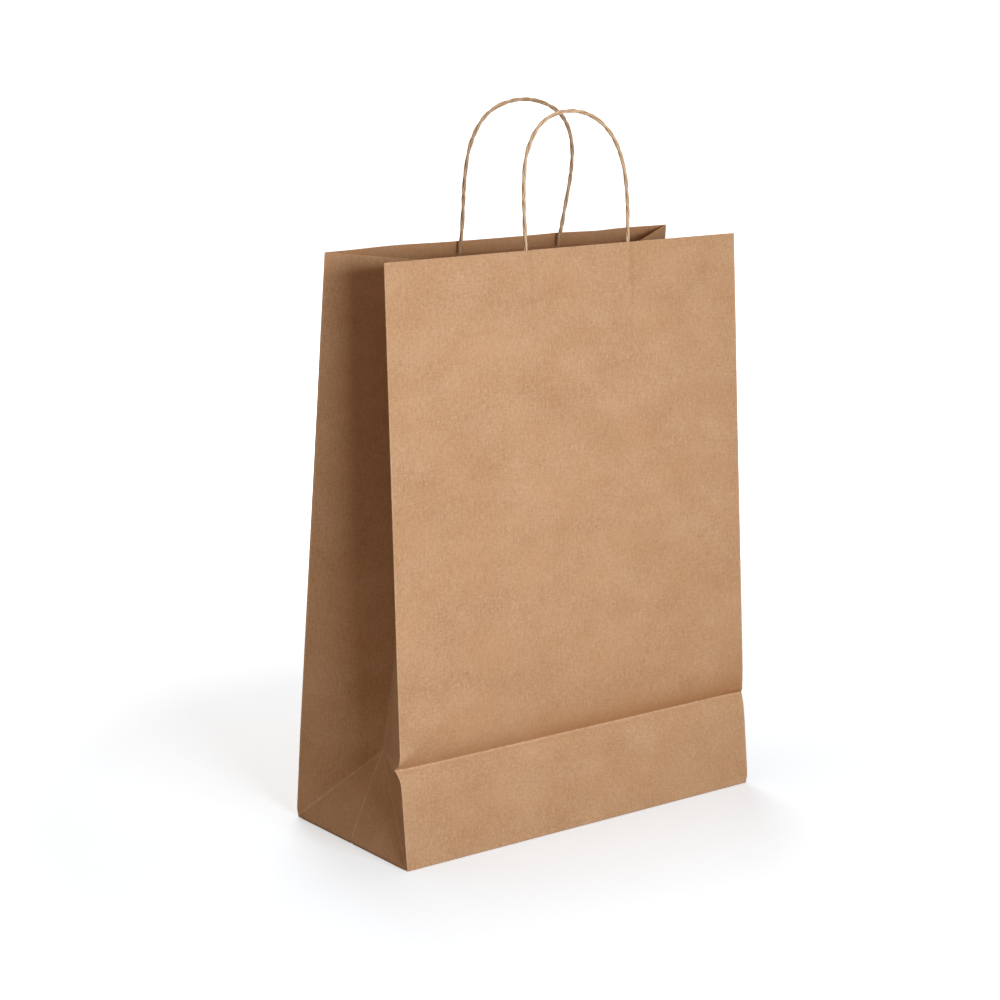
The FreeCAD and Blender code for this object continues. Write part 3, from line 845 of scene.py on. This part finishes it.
# handles
# The loops' routes: place to the right of the bag's middle, and height over the swing line.
frontRoute = [(-0.0361, 0), (-0.0365, 0.017), (-0.0362, 0.042), (-0.0332, 0.066), (-0.0195, 0.0865),
              (0.004, 0.094), (0.028, 0.0895), (0.046, 0.075), (0.0553, 0.0535), (0.0576, 0.029),
              (0.0565, 0)]
backRoute = [(-0.040, 0), (-0.0406, 0.020), (-0.042, 0.046), (-0.0397, 0.071), (-0.0275, 0.0915),
             (-0.004, 0.100), (0.021, 0.098), (0.043, 0.087), (0.054, 0.0675), (0.0558, 0.044),
             (0.053, 0.020), (0.051, 0)]
handle = {
    "frontLean": 4.4,  # degrees
    "backLean": -7.6,
    "pitch": 0.0265,  # length of one turn of the twist
    "around": 44,  # points in a ring
    "ringStep": 0.0009,
    "body": 0.93,  # mean radius as a share of the cord's
    "oval": 0.13,
    "deep": 0.16,  # depth of the groove
    "narrow": 0.24,  # and its width
    "frayed": 0.05,
    # share of painted shade in the frayed dips
    "frayShade": 0.45,
    "blendBelow": 0.006,  # distances from the swing line, below and above
    "blendAbove": 0.010,
}


def splinePoints(name, route):
    # The smooth line of a route: a clamped quadratic NURBS spline, read back as points.
    curve = bpy.data.curves.new(name, "CURVE")
    curve.dimensions = "3D"
    spline = curve.splines.new("NURBS")
    spline.points.add(len(route) - 1)
    spline.points.foreach_set("co", np.column_stack([route, np.ones(len(route))]).ravel())
    spline.order_u = 3
    spline.use_endpoint_u = True
    spline.resolution_u = 24
    holder = bpy.data.objects.new(name, curve)
    line = bpy.data.meshes.new_from_object(holder)
    points = np.zeros(len(line.vertices) * 3)
    line.vertices.foreach_get("co", points)
    bpy.data.meshes.remove(line)
    bpy.data.objects.remove(holder)
    bpy.data.curves.remove(curve)
    return points.reshape(-1, 3)


def makeHandle(name, place, wall, route, lean, legs, cordShade):
    # Rings of the twisted section along the route, from one glued end over the loop to the other; the last
    # argument paints shade over the whole cord.
    swing = jointPoint(place + "_handle_swing")
    slope = math.radians(lean)
    loop = [(x, swing[1] + rise * math.sin(slope), swing[2] + rise * math.cos(slope)) for x, rise in route]
    ends = []
    for leg in legs:
        across = leg / (halfWidth - wall["narrow"] * panelUp)
        heights = rimUp - np.array([0.007, 0.026, cords["endLength"] - 0.001])
        ends.append(wallPoint(wall, across + 0 * heights, heights, cords["overWall"]))
    full = np.concatenate([ends[0][::-1], np.array(loop), ends[1]])
    line = splinePoints(name + "Route", full)
    run = np.concatenate([[0], np.cumsum(np.linalg.norm(np.diff(line, axis=0), axis=1))])
    at = np.linspace(0, run[-1], int(run[-1] / handle["ringStep"]))
    centre = np.stack([np.interp(at, run, line[:, axis]) for axis in range(3)], axis=1)
    tangent = np.gradient(centre, axis=0)
    tangent /= np.linalg.norm(tangent, axis=1, keepdims=True)
    sideways = np.cross(tangent, np.array([0.0, 1.0, 0.0]))
    sideways /= np.linalg.norm(sideways, axis=1, keepdims=True)
    depthways = np.cross(sideways, tangent)
    angle = np.linspace(0, 2 * np.pi, handle["around"], endpoint=False)[None, :]
    # the twist: two flat-rolled strands turn once per pitch, so the section is an oval with a groove
    # on each side: radius = r (body - oval cos 2 phase - deep exp(-(sin phase / narrow)^2) - frayed + lumps)
    uneven = 0.55 * np.sin(at * 143 + 0.7) + 0.30 * np.sin(at * 311)
    phase = angle - (at / handle["pitch"] * 2 * np.pi + uneven)[:, None]
    groove = np.exp(-((np.sin(phase) + 0.10 * np.sin(at * 170)[:, None]) / handle["narrow"]) ** 2)
    frayed = np.exp(-(np.sin(phase * 2.5 + 0.9) / 0.35) ** 2) * (0.5 + 0.5 * np.sin(at * 97 + 2))[:, None]
    lumps = 0.035 * np.sin(at * 210 + 1.1) + 0.03 * np.sin(at * 487 + 0.3)
    radius = cords["radius"] * (handle["body"] - handle["oval"] * np.cos(2 * phase) - handle["deep"] * groove
                                - handle["frayed"] * frayed + lumps[:, None])
    # painted shade: darker in the groove and in the frayed dips
    groove = np.clip(groove + handle["frayShade"] * frayed + cordShade, 0, 1)
    points = (centre[:, None, :] + sideways[:, None, :] * (radius * np.cos(angle))[..., None]
              + depthways[:, None, :] * (radius * np.sin(angle))[..., None])
    return buildTube(name, points, groove, at, angle[0])


def buildTube(name, points, groove, at, angle):
    # Rings of points to a closed tube with flat capped ends, and its UV round and along.
    rings, around = points.shape[:2]
    index = np.arange(rings * around).reshape(rings, around)
    ahead = np.roll(index, -1, axis=1)
    quads = np.stack([index[:-1], index[1:], ahead[1:], ahead[:-1]], axis=-1).reshape(-1, 4)
    flat = points.reshape(-1, 3)
    middle = points.mean(axis=1)
    outward = flat[quads[:, 0]] - np.repeat(middle[:-1], around, axis=0)
    normals = np.cross(flat[quads[:, 2]] - flat[quads[:, 0]], flat[quads[:, 3]] - flat[quads[:, 1]])
    turned = (normals * outward).sum() < 0
    if turned:
        quads = quads[:, ::-1]
    caps = [cap[::-1].tolist() if turned else cap.tolist() for cap in (index[0], index[-1][::-1])]
    mesh = bpy.data.meshes.new(name)
    mesh.from_pydata(flat.tolist(), [], quads.tolist() + caps)
    attribute = mesh.attributes.new("grooveShade", "FLOAT", "POINT")
    attribute.data.foreach_set("value", (groove * 0.75).ravel().astype(np.float32))
    layer = mesh.uv_layers.new(name="cordPlace")
    corner = np.zeros(len(mesh.loops), np.int32)
    mesh.loops.foreach_get("vertex_index", corner)
    ring, turn = corner // around, corner % around
    # measured along the twist, so that lines of the pattern wind round with it
    along = at[ring] + angle[turn] / (2 * np.pi) * handle["pitch"]
    place = np.column_stack([np.sin(angle[turn]) * 0.5, along])
    layer.data.foreach_set("uv", place.ravel().astype(np.float32))
    mesh.polygons.foreach_set("use_smooth", np.ones(len(mesh.polygons), bool))
    mesh.set_sharp_from_angle(angle=math.radians(60))
    mesh.materials.append(cordMaterial)
    mesh.update()
    piece = bpy.data.objects.new(name, mesh)
    bpy.context.scene.collection.objects.link(piece)
    return piece


# the last number of each row is painted shade over the whole cord, more on the back one
for name, place, wall, route, lean, legs, cordShade in (
        ("frontHandleCord", "front", frontWall, frontRoute, handle["frontLean"], frontLegs, 0.0),
        ("backHandleCord", "back", backWall, backRoute, handle["backLean"], backLegs, 0.3)):
    piece = makeHandle(name, place, wall, route, lean, legs, cordShade)
    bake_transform(piece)
    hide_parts(place + "_handle", place + "_cord_ends")
print("handles made")


# floor, light and camera
studio = {
    "floorTone": (0.70, 0.80, 0.915, 1),
    "floorBounce": (0.42, 0.33, 0.26, 1),
    "nearGlow": 0.40,  # lifts the floor to white for the camera only
    "worldLight": 0.29,
    "worldTint": (1.0, 0.77, 0.60, 1),
    "floorReach": 60,
    "gamma": 0.85,
    # name, place, aim, size, watts and colour of each light
    "lights": (("keyLight", (-0.17, -1.12, 0.53), (-0.06, 0, 0.22), (0.60, 0.34), 8.9, (1, 1, 1)),
               ("backLight", (0.8, 1.7, 1.0), (0, 0, 0.2), (1.1, 0.9), 17, (1, 1, 1)),
               ("topLight", (-0.1, 0.35, 1.8), (0, 0, 0.3), (0.9, 0.9), 8, (1.0, 0.90, 0.78))),
}


def makeFloor():
    line = np.linspace(-studio["floorReach"], studio["floorReach"], 9)
    x, y = np.meshgrid(line, line)
    floor = addPiece("paleFloor", np.stack([x, y, 0 * x - 0.00005], axis=-1), (0, 0, 1))
    material = bpy.data.materials.new("paleFloor")
    material.use_nodes = True
    tree = material.node_tree
    shader = tree.nodes["Principled BSDF"]
    shader.inputs["Roughness"].default_value = 0.9
    shader.inputs["Specular IOR Level"].default_value = 0.0
    path = tree.nodes.new("ShaderNodeLightPath")
    seen = addRange(tree, path.outputs["Is Camera Ray"], 0.0, 1.0)
    tone = addMix(tree, seen, studio["floorBounce"], studio["floorTone"])
    tree.links.new(tone, shader.inputs["Base Color"])
    away = tree.nodes.new("ShaderNodeVectorMath")
    away.operation = "LENGTH"
    tree.links.new(tree.nodes.new("ShaderNodeTexCoord").outputs["Object"], away.inputs[0])
    glow = addRange(tree, away.outputs["Value"], 0.35, 1.3, studio["nearGlow"], 1.1)
    tree.links.new(addMath(tree, "MULTIPLY", glow, seen), shader.inputs["Emission Strength"])
    shader.inputs["Emission Color"].default_value = (1, 1, 1, 1)
    floor.data.materials.append(material)


def makeWorld():
    # even white studio: full white behind the object, weaker and warmer as light on it
    world = bpy.data.worlds.new("studio")
    bpy.context.scene.world = world
    world.use_nodes = True
    tree = world.node_tree
    background = tree.nodes["Background"]
    path = tree.nodes.new("ShaderNodeLightPath")
    seen = path.outputs["Is Camera Ray"]
    tree.links.new(addMix(tree, seen, studio["worldTint"], (1, 1, 1, 1)), background.inputs["Color"])
    tree.links.new(addRange(tree, seen, 0.0, 1.0, studio["worldLight"], 1.3),
                   background.inputs["Strength"])


def aimed(right, up, back, place):
    return Matrix([[right[i], up[i], back[i], place[i]] for i in range(3)] + [[0, 0, 0, 1]])


def addArea(name, place, target, size, watts, colour):
    light = bpy.data.lights.new(name, "AREA")
    light.shape = "RECTANGLE"
    light.size, light.size_y = size
    light.energy = watts
    holder = bpy.data.objects.new(name, light)
    bpy.context.scene.collection.objects.link(holder)
    back = np.array(place, float) - np.array(target, float)
    back /= np.linalg.norm(back)
    right = np.cross((0, 0, 1.0), back)
    right /= np.linalg.norm(right)
    light.color = colour
    holder.matrix_world = aimed(right, np.cross(back, right), back, place)


def makeCamera():
    # Long lens from the front left, a little above the bag's middle.
    view = {"azimuth": -37.556, "elevation": 12.593, "roll": -0.431, "distance": 1.808,
            "target": (-0.0278, 0.0, 0.2335), "lens": 90.0}
    azimuth, elevation, roll = (math.radians(view[key]) for key in ("azimuth", "elevation", "roll"))
    back = np.array([math.sin(azimuth) * math.cos(elevation), -math.cos(azimuth) * math.cos(elevation),
                     math.sin(elevation)])
    right = np.array([math.cos(azimuth), math.sin(azimuth), 0])
    up = np.cross(back, right)
    right, up = (right * math.cos(roll) - up * math.sin(roll), right * math.sin(roll) + up * math.cos(roll))
    data = bpy.data.cameras.new("studioCamera")
    data.lens = view["lens"]
    data.sensor_width = 36.0
    data.clip_end = 50.0
    camera = bpy.data.objects.new("studioCamera", data)
    bpy.context.scene.collection.objects.link(camera)
    place = np.array(view["target"]) + back * view["distance"]
    camera.matrix_world = aimed(right, up, back, place)
    bpy.context.scene.camera = camera


makeFloor()
makeWorld()
makeCamera()
for light in studio["lights"]:
    addArea(*light)
bpy.context.scene.view_settings.view_transform = "Standard"
bpy.context.scene.view_settings.gamma = studio["gamma"]
print("studio made")
